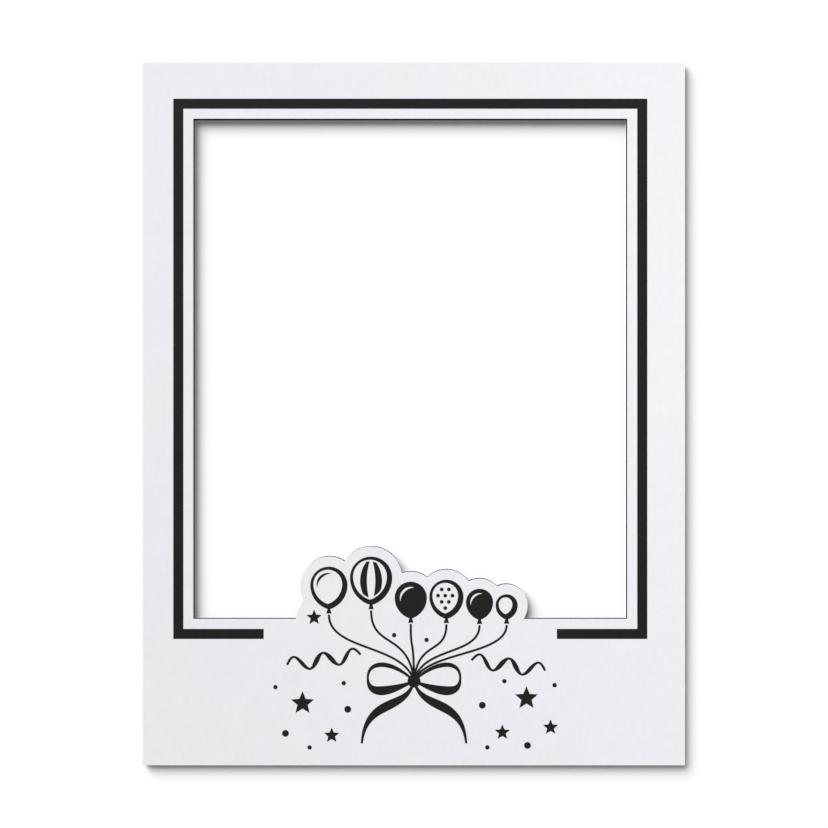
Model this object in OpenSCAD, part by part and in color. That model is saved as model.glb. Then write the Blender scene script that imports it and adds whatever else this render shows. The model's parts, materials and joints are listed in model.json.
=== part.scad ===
// Photo booth frame: a foam board with a large window, a contour-cut tab that rises into the window,
// and black cut film on the front. Millimetres, +Z up. The front faces -Y, and the origin is the middle
// of the lower edge.

/* [Board] */
// Width of the board
board_w = 540; // [450:1:700]
// Height of the board
board_h = 700; // [500:1:900]
// Thickness of the board, with both paper faces
board_t = 10; // [3:0.5:20]
// Thickness of each paper face
liner_t = 0.4; // [0.2:0.1:1]
// Thickness of the black film
film_t = 0.1; // [0.05:0.05:0.5]

/* [Window] */
// Width of the board left of the window
left_rail = 50.3; // [36:0.1:80]
// Width of the board right of the window
right_rail = 57.7; // [36:0.1:80]
// Height of the board above the window
top_rail = 56; // [36:0.5:100]
// Height of the board below the window
sill_z = 146; // [130:0.5:190]

/* [Border band] */
// Width of the band
band_w = 10; // [4:0.5:14]
// Bare paper between the window and the band
band_gap = 10; // [4:0.5:14]
// Length of the band's two returns along the lower edge
band_return = 90; // [20:1:90]

/* [Tab] */
// Bare paper between the upper balloons and the cut edge of the tab
tab_margin = 10; // [4:0.5:14]

/* [Balloons] */
// Radius of each balloon's crown, from left to right
balloon_r = [18.5, 21, 16, 17, 13.5, 11]; // [8:0.5:24]
// Height of each crown above the window's lower edge
crown_h = [52, 62, 37, 39, 30, 24.5]; // [20:0.5:80]
// Clear space between one balloon and the next
balloon_gap = 2.5; // [1.5:0.5:10]
// Radius of a balloon's lower sides, as a multiple of the crown's radius
balloon_taper = 1.35; // [1.2:0.05:1.8]
// Mean width of the line round an open balloon
outline_w = 4.2; // [3:0.1:6]
// How far the inside of an open balloon moves up and left, so that its line is thick and thin
outline_shift = 1.6; // [0:0.1:2]
// Clear space between the line of the striped balloon and its stripes
stripe_gap = 1.6; // [1.2:0.1:3]
// Height of the knot under a balloon
knot_h = 4; // [3:0.5:8]
// Width of the knot at its lower end
knot_w = 5.4; // [3:0.2:8]

/* [Strings and bow] */
// Width of a string
string_w = 2.2; // [1:0.1:4]
// Clear space between a knot and the start of its string
string_gap = 1.2; // [1:0.1:3]
// Height of the middle of the bow above the board's lower edge
bow_z = 84; // [70:1:100]
// Width of the bow, over both loops
bow_w = 92; // [60:1:110]
// Height of a loop of the bow
loop_h = 27; // [18:1:36]
// How far the tails of the bow reach below its middle
tail_h = 62; // [40:1:66]
// How far the tails of the bow spread, over both
tail_w = 104; // [70:1:120]
// Width of the bow's ribbon where it is thickest
ribbon_w = 9; // [4:0.5:10]
// Width of the bow's ribbon where it is thinnest
ribbon_tip = 2.2; // [1:0.1:4]
// Radius of the knot of the bow
bow_knot_r = 6.5; // [5:0.5:9]

/* [Streamers, stars and dots] */
// Length of a streamer
streamer_l = 74; // [40:1:90]
// Height of a streamer's waves, from the middle line to a crest
streamer_wave = 7; // [3:0.5:9]
// Number of waves in a streamer
streamer_waves = 2.5; // [1:0.5:3]
// Width of a streamer where it is thickest
streamer_w = 5; // [2:0.5:6]
// Clear space between a streamer and the outer string beside it
streamer_gap = 7; // [4:0.5:12]
// How far a streamer falls towards its outer end, in degrees
streamer_tilt = 8; // [0:1:20]
// Outer radius of the large stars
star_r = 12; // [6:0.5:14]
// Outer radius of the small stars
small_star_r = 8; // [4:0.5:10]
// Clear space between the star on the tab and the knot beside it
star_gap = 4; // [2:0.5:8]
// Inner radius of a star, as a share of its outer radius
star_waist = 0.45; // [0.3:0.05:0.6]
// Radius of the large dots
dot_r = 3.4; // [1:0.1:5]
// Radius of the small dots
small_dot_r = 2.2; // [1:0.1:4]

/* [Hidden] */
$fn = 48;
window_low = [left_rail - board_w / 2, sill_z];
window_high = [board_w / 2 - right_rail, board_h - top_rail];
core_t = board_t - 2 * liner_t;
back_y = board_t / 2;
front_y = -board_t / 2;
band_inset = band_gap + band_w;
inside_shift = [-outline_shift, outline_shift] / sqrt(2);
balloon_count = len(balloon_r);
cut_past = 1;

// Steps along a brush stroke, and along each wave of a streamer.
stroke_steps = 34;
wave_steps = 30;
// A stroke swells from its ends with this power of a sine. Above 1, two strokes meet without a kink.
stroke_swell = 1.5;

// Where the loose pieces lie: right of the board's middle, and above its lower edge.
large_star_spots = [[-111, 62], [112, 67]];
small_star_spots = [[-82, 30], [88, 33], [136, 38]];
large_dot_spots = [[-128, 32], [-66, 56], [68, 60], [113, 20]];
small_dot_spots = [[-138, 78], [-104, 18], [-70, 82], [73, 18], [90, 84], [140, 80]];

// Layout of the balloons, which stand side by side across the board's middle line.
function sum_r(i) = i < 0 ? 0 : balloon_r[i] + sum_r(i - 1);
row_w = 2 * sum_r(balloon_count - 1) + (balloon_count - 1) * balloon_gap;
function balloon_x(i) = -row_w / 2 + 2 * sum_r(i - 1) + i * balloon_gap + balloon_r[i];
function balloon_z(i) = sill_z + crown_h[i] - balloon_r[i];
function balloon_spot(i) = [balloon_x(i), balloon_z(i)];
function tip_depth(r) = r * sqrt(2 * balloon_taper - 1);
function tip_z(i) = balloon_z(i) - tip_depth(balloon_r[i]);
tab_star = [balloon_x(0) - knot_w / 2 - star_gap - small_star_r, tip_z(0) - small_star_r];

// A string falls from under its knot and turns into the knot of the bow, an outer one below an inner one.
function string_top(i) = [balloon_x(i), tip_z(i) - knot_h - string_gap];
function string_path(i) =
    let (top = string_top(i), fall = top.y - bow_z, turn = 0.85 - 0.7 * abs(top.x) / row_w)
    [top, top - [0, 0.55 * fall], [0.12 * top.x, bow_z + turn * fall], [0, bow_z]];

// A spot half-way between a string and the next one, near their upper ends.
function between_strings(i) = (curve(string_path(i), 0.25) + curve(string_path(i + 1), 0.25)) / 2;

// A cubic curve along the four points of p, its heading, and the normal to a heading.
function curve(p, t) = pow(1 - t, 3) * p[0] + 3 * pow(1 - t, 2) * t * p[1]
    + 3 * (1 - t) * pow(t, 2) * p[2] + pow(t, 3) * p[3];
function curve_heading(p, t) = pow(1 - t, 2) * (p[1] - p[0]) + 2 * (1 - t) * t * (p[2] - p[1])
    + pow(t, 2) * (p[3] - p[2]);
function normal(v) = [-v.y, v.x] / norm(v);

// A layer of the board lies with its back at y. Outlines are drawn with X right and Z up, as plates that
// take their thickness from the layer they are in.
module layer(y, t) {
    $layer_t = t;
    translate([0, y, 0]) rotate([90, 0, 0]) children();
}

module film() {
    color([0.15, 0.15, 0.15]) layer(front_y, film_t) children();
}

// What is cut out of a layer runs past both of its faces.
module cut_through() {
    full_t = $layer_t;
    $layer_t = full_t + 2 * cut_past;
    translate([0, 0, -cut_past]) children();
}

module disc(r) {
    cylinder(r = r, h = $layer_t);
}

module rect(low, high) {
    translate([low.x, low.y, 0]) cube([high.x - low.x, high.y - low.y, $layer_t]);
}

module plate(points) {
    linear_extrude($layer_t) polygon(points);
}

// What a brush of changing width draws as t goes from 0 to 1.
module brush(point, heading, width, steps) {
    edge = function (t, side) point(t) + side * width(t) / 2 * normal(heading(t));
    plate(concat([for (i = [0 : steps]) edge(i / steps, 1)],
                 [for (i = [0 : steps]) edge(1 - i / steps, -1)]));
}

// A brush stroke along a curve: tip wide at its ends and belly wide in its middle.
module stroke(p, tip, belly) {
    brush(function (t) curve(p, t), function (t) curve_heading(p, t),
          function (t) tip + (belly - tip) * pow(sin(180 * t), stroke_swell), stroke_steps);
}

// A balloon, grown by a margin: a half circle over two arcs that meet in a point.
module balloon_shape(r, grow = 0) {
    lower_r = balloon_taper * r;
    reach = lower_r + r + abs(grow);
    intersection() {
        disc(r + grow);
        rect([-reach, 0], [reach, reach]);
    }
    intersection() {
        translate([lower_r - r, 0]) disc(lower_r + grow);
        translate([r - lower_r, 0]) disc(lower_r + grow);
        rect([-reach, -2 * reach], [reach, 0]);
    }
}

// The knot is a short flare, whose narrow neck reaches up into the balloon's point.
module knotted_balloon(r) {
    neck_w = knot_w / 3;
    neck_z = knot_h / 2 - tip_depth(r);
    end_z = -knot_h - tip_depth(r);
    balloon_shape(r);
    plate([[-neck_w / 2, neck_z], [neck_w / 2, neck_z], [knot_w / 2, end_z], [-knot_w / 2, end_z]]);
}

// A crescent on the upper left of a balloon, where it catches the light.
module glint(r) {
    outer_r = 0.68 * r;
    cut_r = 0.92 * r;
    width = 0.15 * r;
    rotate(135) difference() {
        disc(outer_r);
        cut_through() translate([outer_r - width - cut_r, 0]) disc(cut_r);
    }
}

module lined_balloon(r) {
    difference() {
        knotted_balloon(r);
        cut_through() translate(inside_shift) balloon_shape(r, -outline_w);
    }
}

module glint_balloon(r) {
    lined_balloon(r);
    translate(inside_shift) glint(r - outline_w / 2);
}

module solid_balloon(r) {
    difference() {
        knotted_balloon(r);
        cut_through() glint(r);
    }
}

// A disc whose right edge runs from a balloon's crown to its point, b away from its axis.
module gore(r, b) {
    half = (r + tip_depth(r)) / 2;
    edge_r = (pow(half, 2) + pow(b, 2)) / (2 * b);
    translate([b - edge_r, r - half]) disc(edge_r);
}

module striped_balloon(r) {
    stripe_in = 0.2 * r;
    stripe_out = 0.52 * r;
    lined_balloon(r);
    for (flip = [0, 1]) intersection() {
        translate(inside_shift) balloon_shape(r, -outline_w - stripe_gap);
        mirror([flip, 0]) difference() {
            gore(r, stripe_out);
            cut_through() gore(r, stripe_in);
        }
        mirror([flip, 0]) rect([0, -2 * r], [r, r]);
    }
}

// Rows of two, three, two and one dots.
module dotted_balloon(r) {
    rows = [2, 3, 2, 1];
    pitch = 0.42 * r;
    spot_r = 0.11 * r;
    lined_balloon(r);
    for (row = [0 : len(rows) - 1], col = [0 : rows[row] - 1])
        translate(inside_shift + pitch * [col - (rows[row] - 1) / 2, sin(60) * (1 - row)]) disc(spot_r);
}

module window_shape(grow = 0) {
    rect(window_low - [grow, grow], window_high + [grow, grow]);
}

// The tab follows the balloons and the star beside them, and is filled down to the board below.
module tab_shape() {
    last = balloon_count - 1;
    foot_z = sill_z - band_gap;
    for (i = [0 : last]) translate(balloon_spot(i)) balloon_shape(balloon_r[i], tab_margin);
    translate(tab_star) disc(small_star_r + tab_margin);
    plate(concat([for (i = [0 : last]) balloon_spot(i)],
                 [[balloon_x(last), foot_z], [tab_star.x, foot_z], tab_star]));
}

module board_shape() {
    difference() {
        rect([-board_w / 2, 0], [board_w / 2, board_h]);
        cut_through() window_shape();
    }
    tab_shape();
}

module back_liner() {
    color([0.93, 0.94, 0.945]) layer(back_y, liner_t) board_shape();
}

module foam_core() {
    color([0.22, 0.22, 0.225]) layer(back_y - liner_t, core_t) board_shape();
}

module front_liner() {
    color([0.93, 0.935, 0.95]) layer(front_y + liner_t, liner_t) board_shape();
}

module border_band() {
    end = band_return - band_inset;
    film() difference() {
        window_shape(band_inset);
        cut_through() window_shape(band_gap);
        cut_through() rect([window_low.x + end, sill_z - 2 * band_inset], [window_high.x - end, sill_z]);
    }
}

module balloon(i) {
    film() translate(balloon_spot(i)) children();
}

module balloon_1() {
    balloon(0) glint_balloon(balloon_r[0]);
}

module balloon_2() {
    balloon(1) striped_balloon(balloon_r[1]);
}

module balloon_3() {
    balloon(2) solid_balloon(balloon_r[2]);
}

module balloon_4() {
    balloon(3) dotted_balloon(balloon_r[3]);
}

module balloon_5() {
    balloon(4) solid_balloon(balloon_r[4]);
}

module balloon_6() {
    balloon(5) lined_balloon(balloon_r[5]);
}

// One side of the bow: a loop of two strokes, and a tail.
module half_bow() {
    knot = [0, 0];
    rise = [0.22 * bow_w, 0.75 * loop_h];
    end = [0.5 * bow_w, 0.12 * loop_h];
    over = end + [0, 0.7 * loop_h];
    under = end - [0, 0.75 * loop_h];
    fall = [0.24 * bow_w, -0.35 * loop_h];
    stroke([knot, rise, over, end], ribbon_tip, ribbon_w / 2);
    stroke([end, under, fall, knot], ribbon_tip, ribbon_w);
    stroke([knot, [0.08 * tail_w, -0.5 * tail_h], [0.46 * tail_w, -0.25 * tail_h], [0.5 * tail_w, -tail_h]],
           ribbon_tip, ribbon_w);
}

module string_bow() {
    film() {
        for (i = [0 : balloon_count - 1]) stroke(string_path(i), string_w, string_w);
        translate([0, bow_z]) {
            half_bow();
            mirror([1, 0]) half_bow();
            disc(bow_knot_r);
        }
    }
}

// A streamer is a wave whose rising and falling stretches are thick and whose crests are thin.
module streamer() {
    turn = 360 * streamer_waves;
    brush(function (t) [streamer_l * t, streamer_wave * sin(turn * t)],
          function (t) [streamer_l, streamer_wave * turn * PI / 180 * cos(turn * t)],
          function (t) ribbon_tip + (streamer_w - ribbon_tip) * pow(cos(turn * t), 2) * sin(180 * t),
          ceil(wave_steps * streamer_waves));
}

// It starts beside the middle of an outer string.
module streamer_beside(i) {
    translate(curve(string_path(i), 0.5)) mirror([balloon_x(i) < 0 ? 1 : 0, 0])
        translate([streamer_gap, -streamer_gap]) rotate(-streamer_tilt) streamer();
}

module streamer_left() {
    film() streamer_beside(0);
}

module streamer_right() {
    film() streamer_beside(balloon_count - 1);
}

module star(r) {
    plate([for (i = [0 : 9]) (i % 2 == 0 ? r : star_waist * r) * [cos(90 + 36 * i), sin(90 + 36 * i)]]);
}

module stars() {
    film() {
        for (spot = large_star_spots) translate(spot) star(star_r);
        for (spot = concat([tab_star], small_star_spots)) translate(spot) star(small_star_r);
    }
}

module confetti_dots() {
    film() {
        for (spot = large_dot_spots) translate(spot) disc(dot_r);
        for (spot = small_dot_spots) translate(spot) disc(small_dot_r);
        for (i = [1, 2]) translate(between_strings(i)) disc(small_dot_r);
    }
}

back_liner();
foam_core();
front_liner();
border_band();
balloon_1();
balloon_2();
balloon_3();
balloon_4();
balloon_5();
balloon_6();
string_bow();
streamer_left();
streamer_right();
stars();
confetti_dots();
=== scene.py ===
"""Looks of a photo booth frame, a foam board with a window and black cut film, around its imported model.

Metres, +Z up, and the front faces -Y. Outlines are complex numbers, with X as the real part and Z as the
imaginary part, and the board lies on the left of an outline's direction.
"""
import cmath
import json
import math

import bmesh
import bpy
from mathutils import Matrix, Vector, noise


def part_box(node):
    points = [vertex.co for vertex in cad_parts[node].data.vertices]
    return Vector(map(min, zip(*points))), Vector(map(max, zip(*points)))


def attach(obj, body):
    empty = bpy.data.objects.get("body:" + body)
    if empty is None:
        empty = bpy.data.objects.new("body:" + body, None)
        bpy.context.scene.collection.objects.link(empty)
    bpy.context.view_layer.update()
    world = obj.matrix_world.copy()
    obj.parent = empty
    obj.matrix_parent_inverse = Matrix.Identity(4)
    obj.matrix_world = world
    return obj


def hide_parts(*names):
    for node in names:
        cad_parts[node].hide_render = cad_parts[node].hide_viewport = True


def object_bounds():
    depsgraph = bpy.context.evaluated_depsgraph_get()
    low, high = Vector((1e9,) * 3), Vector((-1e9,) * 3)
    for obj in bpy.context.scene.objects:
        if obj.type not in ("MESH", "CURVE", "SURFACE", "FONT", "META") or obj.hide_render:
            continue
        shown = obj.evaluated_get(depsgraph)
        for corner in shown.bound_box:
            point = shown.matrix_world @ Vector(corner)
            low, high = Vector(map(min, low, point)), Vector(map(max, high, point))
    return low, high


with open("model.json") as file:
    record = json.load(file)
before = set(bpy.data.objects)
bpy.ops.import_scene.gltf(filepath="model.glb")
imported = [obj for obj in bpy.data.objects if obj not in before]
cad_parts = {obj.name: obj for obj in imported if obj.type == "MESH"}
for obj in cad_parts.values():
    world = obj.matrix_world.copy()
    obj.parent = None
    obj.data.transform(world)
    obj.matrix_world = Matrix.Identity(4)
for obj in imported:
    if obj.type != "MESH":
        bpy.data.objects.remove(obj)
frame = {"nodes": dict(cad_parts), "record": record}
CAD_LOW, CAD_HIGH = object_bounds()
MIDDLE = (CAD_LOW + CAD_HIGH) / 2
MM = 0.001

# The photograph is square, and looks straight at the middle of the board.
PHOTO_PX = 828
BOARD_PX = 542.3
CAMERA_AWAY = 1.6
SENSOR_MM = 36

# The pale surface behind the board, and the light: directions point from the board to the lamp.
WALL_GAP = 0.02 * MM
WALL_SIZE = 30
WALL_GLOW = 0.075
KEY_FROM = Vector((-0.66, -1.0, 0.89))
KEY_LEVEL = 0.795
REAR_FROM = Vector((-0.35, 1.0, 0.6))
REAR_LEVEL = 0.84
SUN_ANGLE = math.radians(48)
FILL_FROM = Vector((0.8, -0.8, 0.26))
FILL_LEVEL = 0.11
FILL_SIZE = 0.5
AMBIENT = 0.155

# Outlines: points closer than the weld are one, and a front face looks to -Y at least this squarely. A
# sharper turn is a corner, a smaller bend is straight, and the steps are the widest gaps between points.
WELD = 0.001 * MM
SQUARENESS = 0.99
CORNER_TURN = math.radians(25)
STRAIGHT_BEND = 1e-4
OUTLINE_STEP = 1.2 * MM
FOAM_STEP = 2.5 * MM

# Cut edges: the paper rolls over a little, and the foam lies back between the papers.
PAPER_ROUND = 0.25 * MM
ROUND_STEPS = 4
FOAM_RINGS = 10
FOAM_RECESS = 0.04 * MM
RECESS_POWER = 4
RIPPLE = 0.6
RIPPLE_SCALE = 160

# Materials: how many features a metre each field has, and linear colours.
PAPER_TINTS = 7
PAPER_CLOUDS = 48
PAPER_GRAIN = 190
PAPER_FIBRES = 1100
SMALL_CELLS = 2200
LARGE_CELLS = 900
CUTTER_MARKS = 700
FILM_CLOUDS = 90
FILM_GLOSS = 300
FILM_PEEL = 1200
FOAM_DARK = (0.026, 0.026, 0.027, 1)
FOAM_LIGHT = (0.054, 0.054, 0.055, 1)
FILM_DARK = (0.0105, 0.0099, 0.0100, 1)
FILM_LIGHT = (0.0135, 0.0128, 0.0129, 1)

# The range that holds most of a field, and the colour sockets of a Mix node, whose names others share.
FIELD_LOW, FIELD_HIGH = 0.3, 0.7
MIX_A, MIX_B, MIX_RESULT = 6, 7, 2


# Outlines

def looks_to_front(face):
    return face.normal.y < -SQUARENESS


def outlines(node):
    """The closed outlines of the faces of a CAD node that look to the front."""
    mesh = bmesh.new()
    mesh.from_mesh(frame["nodes"][node].data)
    bmesh.ops.remove_doubles(mesh, verts=mesh.verts, dist=WELD)
    mesh.normal_update()
    following = {}
    for face in filter(looks_to_front, mesh.faces):
        for corner in face.loops:
            if sum(map(looks_to_front, corner.edge.link_faces)) == 1:
                following[corner.vert] = corner.link_loop_next.vert
    loops = []
    while following:
        loops.append([])
        vert = next(iter(following))
        while vert in following:
            loops[-1].append(complex(vert.co.x, vert.co.z))
            vert = following.pop(vert)
    mesh.free()
    return loops


def arc_point(chord, bend, share):
    """How far along the arc over a chord a point is, where the arc turns by bend in all."""
    if abs(bend) < STRAIGHT_BEND:
        return chord * share
    return chord * cmath.rect(math.sin(share * bend / 2) / math.sin(bend / 2), (share - 1) * bend / 2)


def finer(loop, step):
    """An outline with its round stretches put back on their arcs and points at most step apart."""
    chords = [b - a for a, b in zip(loop, loop[1:] + loop[:1])]
    turns = [cmath.phase(b / a) for a, b in zip(chords[-1:] + chords[:-1], chords)]
    made = []
    for start, chord, at_start, at_end in zip(loop, chords, turns, turns[1:] + turns[:1]):
        soft = [t for t in (at_start, at_end) if abs(t) < CORNER_TURN]
        bend = sum(soft) / len(soft) if soft else 0.0
        pieces = math.ceil(abs(chord) / step)
        made += [start + arc_point(chord, bend, k / pieces) for k in range(pieces)]
    return made


def inset(loop, depths):
    """An outline moved into the board, by one depth for each point."""
    moved = []
    for before, point, after, depth in zip(loop[-1:] + loop[:-1], loop, loop[1:] + loop[:1], depths):
        u = (point - before) / abs(point - before)
        w = (after - point) / abs(after - point)
        moved.append(point + depth * 1j * (u + w) / (1 + (u.conjugate() * w).real))
    return moved


def lofted(name, loops, rings):
    """A closed solid with flat caps and walls from ring to ring. A ring is a y and a depth function."""
    mesh = bmesh.new()
    caps = {0: [], len(rings) - 1: []}
    for loop in loops:
        rows = []
        for y, depth in rings:
            points = inset(loop, [depth(p) for p in loop])
            rows.append([mesh.verts.new((p.real, y, p.imag)) for p in points])
        count = len(loop)
        for low, high in zip(rows, rows[1:]):
            for i in range(count):
                j = (i + 1) % count
                mesh.faces.new((low[i], low[j], high[j], high[i])).smooth = True
        for k, edges in caps.items():
            edges += [mesh.edges.get((rows[k][i], rows[k][(i + 1) % count])) for i in range(count)]
    for edges in caps.values():
        bmesh.ops.triangle_fill(mesh, edges=edges, use_beauty=True)
    bmesh.ops.recalc_face_normals(mesh, faces=mesh.faces)
    data = bpy.data.meshes.new(name)
    mesh.to_mesh(data)
    mesh.free()
    piece = bpy.data.objects.new(name, data)
    bpy.context.scene.collection.objects.link(piece)
    return piece


# Materials

class Shader:
    """A material's node tree, with its Principled shader and the object's own coordinates."""

    def __init__(self, name):
        self.material = bpy.data.materials.new(name)
        self.material.use_nodes = True
        self.tree = self.material.node_tree
        self.principled = self.tree.nodes["Principled BSDF"]
        self.coords = self.node("ShaderNodeTexCoord").outputs["Object"]

    def node(self, kind, inputs=None, **settings):
        made = self.tree.nodes.new(kind)
        for key, value in settings.items():
            setattr(made, key, value)
        for key, value in (inputs or {}).items():
            self.feed(made.inputs[key], value)
        return made

    def feed(self, socket, value):
        if isinstance(value, bpy.types.NodeSocket):
            self.tree.links.new(value, socket)
        else:
            socket.default_value = value

    def set(self, **values):
        for key, value in values.items():
            self.feed(self.principled.inputs[key.replace("_", " ")], value)

    def noise(self, scale, detail=2.0, roughness=0.5, stretch=(1, 1, 1)):
        """Cloudy noise, drawn out along an axis where stretch is below 1."""
        mapping = self.node("ShaderNodeMapping", {"Vector": self.coords, "Scale": stretch})
        place = mapping.outputs["Vector"]
        inputs = {"Vector": place, "Scale": scale, "Detail": detail, "Roughness": roughness}
        return self.node("ShaderNodeTexNoise", inputs).outputs["Fac"]

    def cells(self, scale):
        inputs = {"Vector": self.coords, "Scale": scale}
        return self.node("ShaderNodeTexVoronoi", inputs).outputs["Distance"]

    def math(self, operation, a, b):
        return self.node("ShaderNodeMath", {0: a, 1: b}, operation=operation).outputs[0]

    def weighted(self, *terms):
        """The sum of fields, each times its weight."""
        parts = [self.math("MULTIPLY", field, weight) for field, weight in terms]
        total = parts[0]
        for part in parts[1:]:
            total = self.math("ADD", total, part)
        return total

    def between(self, field, low=0.0, high=1.0):
        """The range that holds most of a field, spread from low to high."""
        inputs = {"Value": field, "To Min": low, "To Max": high}
        inputs.update({"From Min": FIELD_LOW, "From Max": FIELD_HIGH})
        return self.node("ShaderNodeMapRange", inputs).outputs["Result"]

    def mix(self, share, a, b):
        inputs = {"Factor": share, MIX_A: a, MIX_B: b}
        return self.node("ShaderNodeMix", inputs, data_type="RGBA").outputs[MIX_RESULT]

    def bump(self, field, height, strength=1.0):
        inputs = {"Height": field, "Distance": height, "Strength": strength}
        self.set(Normal=self.node("ShaderNodeBump", inputs).outputs["Normal"])


def shade(colour, factor):
    return (*[c * factor for c in colour], 1.0)


def paper(name, cool, neutral, contrast, roughness, gloss, tooth):
    """White paper: broad patches of two tints, faint clouds, upright fibres and a fine tooth."""
    shader = Shader(name)
    clouds = shader.noise(PAPER_CLOUDS, detail=3.0)
    grain = shader.noise(PAPER_GRAIN, detail=3.0, roughness=0.6, stretch=(1, 1, 0.6))
    fibres = shader.noise(PAPER_FIBRES, stretch=(1, 1, 0.1))
    tone = shader.between(shader.weighted((clouds, 0.3), (grain, 0.55), (fibres, 0.15)))
    tints = shader.between(shader.noise(PAPER_TINTS, stretch=(-1, 1, 1)))
    light = shader.mix(tints, shade(cool, 1 + contrast), shade(neutral, 1 + contrast))
    dark = shader.mix(tints, shade(cool, 1 - contrast), shade(neutral, 1 - contrast))
    shader.set(Base_Color=shader.mix(tone, dark, light), Roughness=roughness, Specular_IOR_Level=gloss)
    shader.bump(shader.weighted((grain, 0.7), (fibres, 0.3)), height=tooth)
    return shader.material


def cut_foam():
    """Dark foam: open cells of two sizes, and fine marks of the cutter across the edge."""
    shader = Shader("cut_foam")
    cells = shader.weighted((shader.cells(SMALL_CELLS), 0.6), (shader.cells(LARGE_CELLS), 0.4))
    marks = shader.noise(CUTTER_MARKS, stretch=(1, 0.05, 1))
    tone = shader.between(shader.weighted((cells, 0.6), (marks, 0.4)))
    shader.set(Base_Color=shader.mix(tone, FOAM_DARK, FOAM_LIGHT), Roughness=0.9, Specular_IOR_Level=0.0)
    shader.bump(shader.weighted((cells, 0.7), (marks, 0.3)), height=0.3 * MM)
    return shader.material


def black_film():
    """Satin black film with a faint orange peel and slightly uneven gloss."""
    shader = Shader("satin_film")
    colour = shader.mix(shader.noise(FILM_CLOUDS, detail=3.0), FILM_DARK, FILM_LIGHT)
    roughness = shader.between(shader.noise(FILM_GLOSS), 0.36, 0.48)
    shader.set(Base_Color=colour, Roughness=roughness, Specular_IOR_Level=0.07)
    shader.bump(shader.noise(FILM_PEEL, detail=1.0), height=0.01 * MM, strength=0.5)
    return shader.material


FRONT_PAPER = paper(
    "coated_paper", cool=(0.78, 0.785, 0.836), neutral=(0.78, 0.792, 0.798),
    contrast=0.031, roughness=0.42, gloss=0.45, tooth=0.02 * MM,
)
BACK_PAPER = paper(
    "plain_paper", cool=(0.80, 0.805, 0.815), neutral=(0.805, 0.805, 0.795),
    contrast=0.030, roughness=0.80, gloss=0.3, tooth=0.05 * MM,
)
CUT_FOAM = cut_foam()
BLACK_FILM = black_film()


# Pieces

def own(piece, material, node):
    """Gives a piece its material, and the place of a CAD node."""
    piece.data.materials.append(material)
    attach(piece, "root")
    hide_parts(node)


def rolled(face_y, inner_y):
    """Rings of a paper face, from the foam to a face edge that is rolled over."""
    inward = math.copysign(PAPER_ROUND, inner_y - face_y)
    rings = [(inner_y, lambda p: 0.0)]
    for k in range(ROUND_STEPS + 1):
        angle = math.pi / 2 * k / ROUND_STEPS
        depth = PAPER_ROUND * (1 - math.cos(angle))
        rings.append((face_y + inward * (1 - math.sin(angle)), lambda p, depth=depth: depth))
    return rings


def recessed(low_y, high_y):
    """Rings of the foam, which lies back unevenly between the papers."""
    rings = []
    for k in range(FOAM_RINGS + 1):
        share = k / FOAM_RINGS
        y = low_y + (high_y - low_y) * share
        recess = FOAM_RECESS * (1 - (2 * share - 1) ** RECESS_POWER)

        def depth(p, y=y, recess=recess):
            place = RIPPLE_SCALE * Vector((p.real, y, p.imag))
            return recess * (1 + RIPPLE * noise.noise(place))

        rings.append((y, depth))
    return rings


board_loops = outlines("front_liner")
paper_loops = [finer(loop, OUTLINE_STEP) for loop in board_loops]
foam_loops = [finer(loop, FOAM_STEP) for loop in board_loops]
front, inner = [corner.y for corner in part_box("front_liner")]
own(lofted("front_sheet", paper_loops, rolled(front, inner)), FRONT_PAPER, "front_liner")
inner, back = [corner.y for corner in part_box("back_liner")]
own(lofted("back_sheet", paper_loops, rolled(back, inner)), BACK_PAPER, "back_liner")
low, high = [corner.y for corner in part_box("foam_core")]
own(lofted("cut_core", foam_loops, recessed(low, high)), CUT_FOAM, "foam_core")
for part in frame["record"]["subparts"]:
    if part["material_slot"] == "black_film":
        film = frame["nodes"][part["node"]]
        film.data.materials.clear()
        film.data.materials.append(BLACK_FILM)


# Backdrop, light and camera

def backdrop(y):
    """A white wall behind the board. It shows only from the front, and stops and gives no light."""
    half = WALL_SIZE / 2
    data = bpy.data.meshes.new("backdrop")
    corners = [(-half, y, -half), (half, y, -half), (half, y, half), (-half, y, half)]
    data.from_pydata(corners, [], [(0, 1, 2, 3)])
    wall = bpy.data.objects.new("backdrop", data)
    bpy.context.scene.collection.objects.link(wall)
    wall.visible_diffuse = wall.visible_glossy = wall.visible_transmission = wall.visible_shadow = False
    shader = Shader("backdrop")
    tree = shader.tree
    white = shader.node("ShaderNodeBsdfDiffuse", {"Color": (1, 1, 1, 1)}).outputs[0]
    glow = shader.node("ShaderNodeEmission", {"Strength": WALL_GLOW}).outputs[0]
    pale = shader.node("ShaderNodeAddShader", {0: white, 1: glow}).outputs[0]
    behind = shader.node("ShaderNodeNewGeometry").outputs["Backfacing"]
    clear = shader.node("ShaderNodeBsdfTransparent").outputs[0]
    shown = shader.node("ShaderNodeMixShader", {0: behind, 1: pale, 2: clear}).outputs[0]
    tree.links.new(shown, tree.nodes["Material Output"].inputs["Surface"])
    tree.nodes.remove(shader.principled)
    data.materials.append(shader.material)


def lamp(name, kind, away, energy, **settings):
    """A lamp that is this far away from the middle of the board and points at it."""
    data = bpy.data.lights.new(name, kind)
    data.energy = energy
    for key, value in settings.items():
        setattr(data, key, value)
    made = bpy.data.objects.new(name, data)
    made.location = MIDDLE + away
    made.rotation_euler = (MIDDLE - made.location).to_track_quat("-Z", "Y").to_euler()
    made.visible_camera = False
    bpy.context.scene.collection.objects.link(made)
    return made


def sun(name, away, level):
    """A soft sun that lights the board's face to a level, where 1 shows a colour as it is written."""
    return lamp(name, "SUN", away, level * math.pi / abs(away.normalized().y), angle=SUN_ANGLE)


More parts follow.
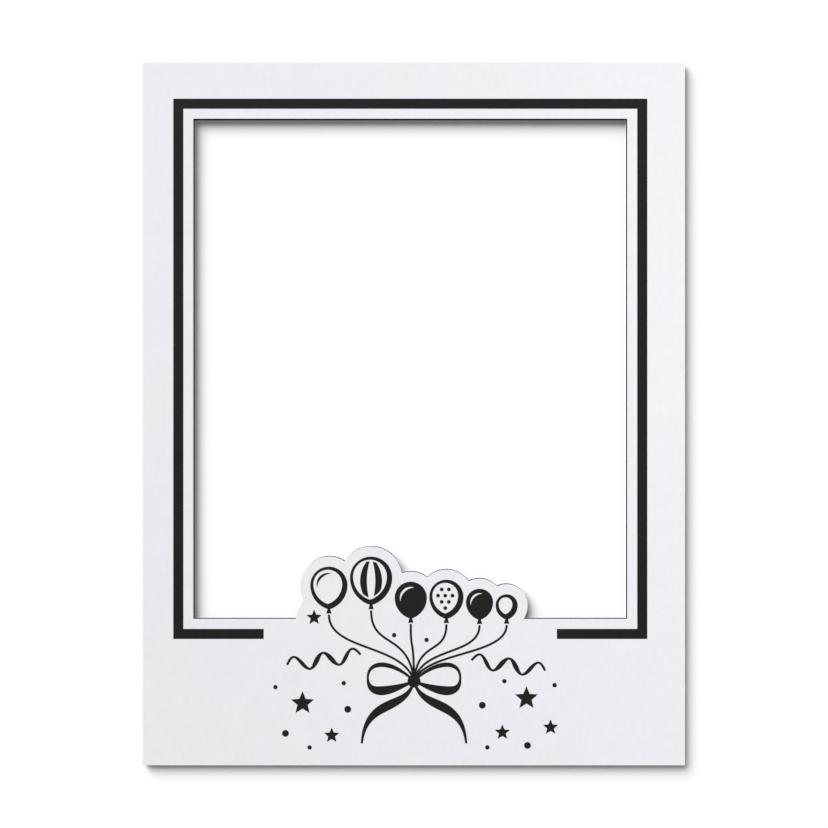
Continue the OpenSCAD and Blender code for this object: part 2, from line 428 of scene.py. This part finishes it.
def panel(name, away, level, size):
    """A square lamp that lights the middle of the board's face to a level."""
    energy = level * math.pi ** 2 * away.length ** 3 / abs(away.y)
    return lamp(name, "AREA", away, energy, size=size)


def lights_only(light, pieces):
    """Keeps the light of a lamp on these pieces."""
    lit = bpy.data.collections.new(light.name)
    for piece in pieces:
        lit.objects.link(piece)
    light.light_linking.receiver_collection = lit


def ambient():
    """A white world that lights softly, and shows as white to the camera and in reflections."""
    world = bpy.data.worlds.new("world")
    bpy.context.scene.world = world
    world.use_nodes = True
    tree = world.node_tree
    rays = tree.nodes.new("ShaderNodeLightPath")
    seen = rays.outputs["Is Camera Ray"]
    for kind in ("Is Glossy Ray", "Is Transmission Ray"):
        either = tree.nodes.new("ShaderNodeMath")
        either.operation = "MAXIMUM"
        tree.links.new(seen, either.inputs[0])
        tree.links.new(rays.outputs[kind], either.inputs[1])
        seen = either.outputs[0]
    strength = tree.nodes.new("ShaderNodeMapRange")
    strength.inputs["To Min"].default_value = AMBIENT
    tree.links.new(seen, strength.inputs["Value"])
    sky = tree.nodes["Background"]
    sky.inputs["Color"].default_value = (1, 1, 1, 1)
    tree.links.new(strength.outputs["Result"], sky.inputs["Strength"])


def camera(target):
    """A camera that looks squarely at the target, with the board as wide as in the photograph."""
    data = bpy.data.cameras.new("camera")
    data.sensor_width = SENSOR_MM
    data.lens = SENSOR_MM * CAMERA_AWAY / ((CAD_HIGH.x - CAD_LOW.x) * PHOTO_PX / BOARD_PX)
    made = bpy.data.objects.new("camera", data)
    made.location = target + Vector((0, -CAMERA_AWAY, 0))
    made.rotation_euler = (math.pi / 2, 0, 0)
    bpy.context.scene.collection.objects.link(made)
    bpy.context.scene.camera = made


pieces = [thing for thing in bpy.context.scene.objects if thing.type == "MESH"]
backdrop(CAD_HIGH.y + WALL_GAP)
sun("key", KEY_FROM, KEY_LEVEL)
rear = sun("rear", REAR_FROM, REAR_LEVEL)
lights_only(rear, [bpy.data.objects["back_sheet"]])
fill = panel("fill", FILL_FROM, FILL_LEVEL, FILL_SIZE)
lights_only(fill, pieces)
ambient()
camera(Vector((MIDDLE.x, CAD_LOW.y, MIDDLE.z)))
bpy.context.scene.view_settings.view_transform = "Standard"
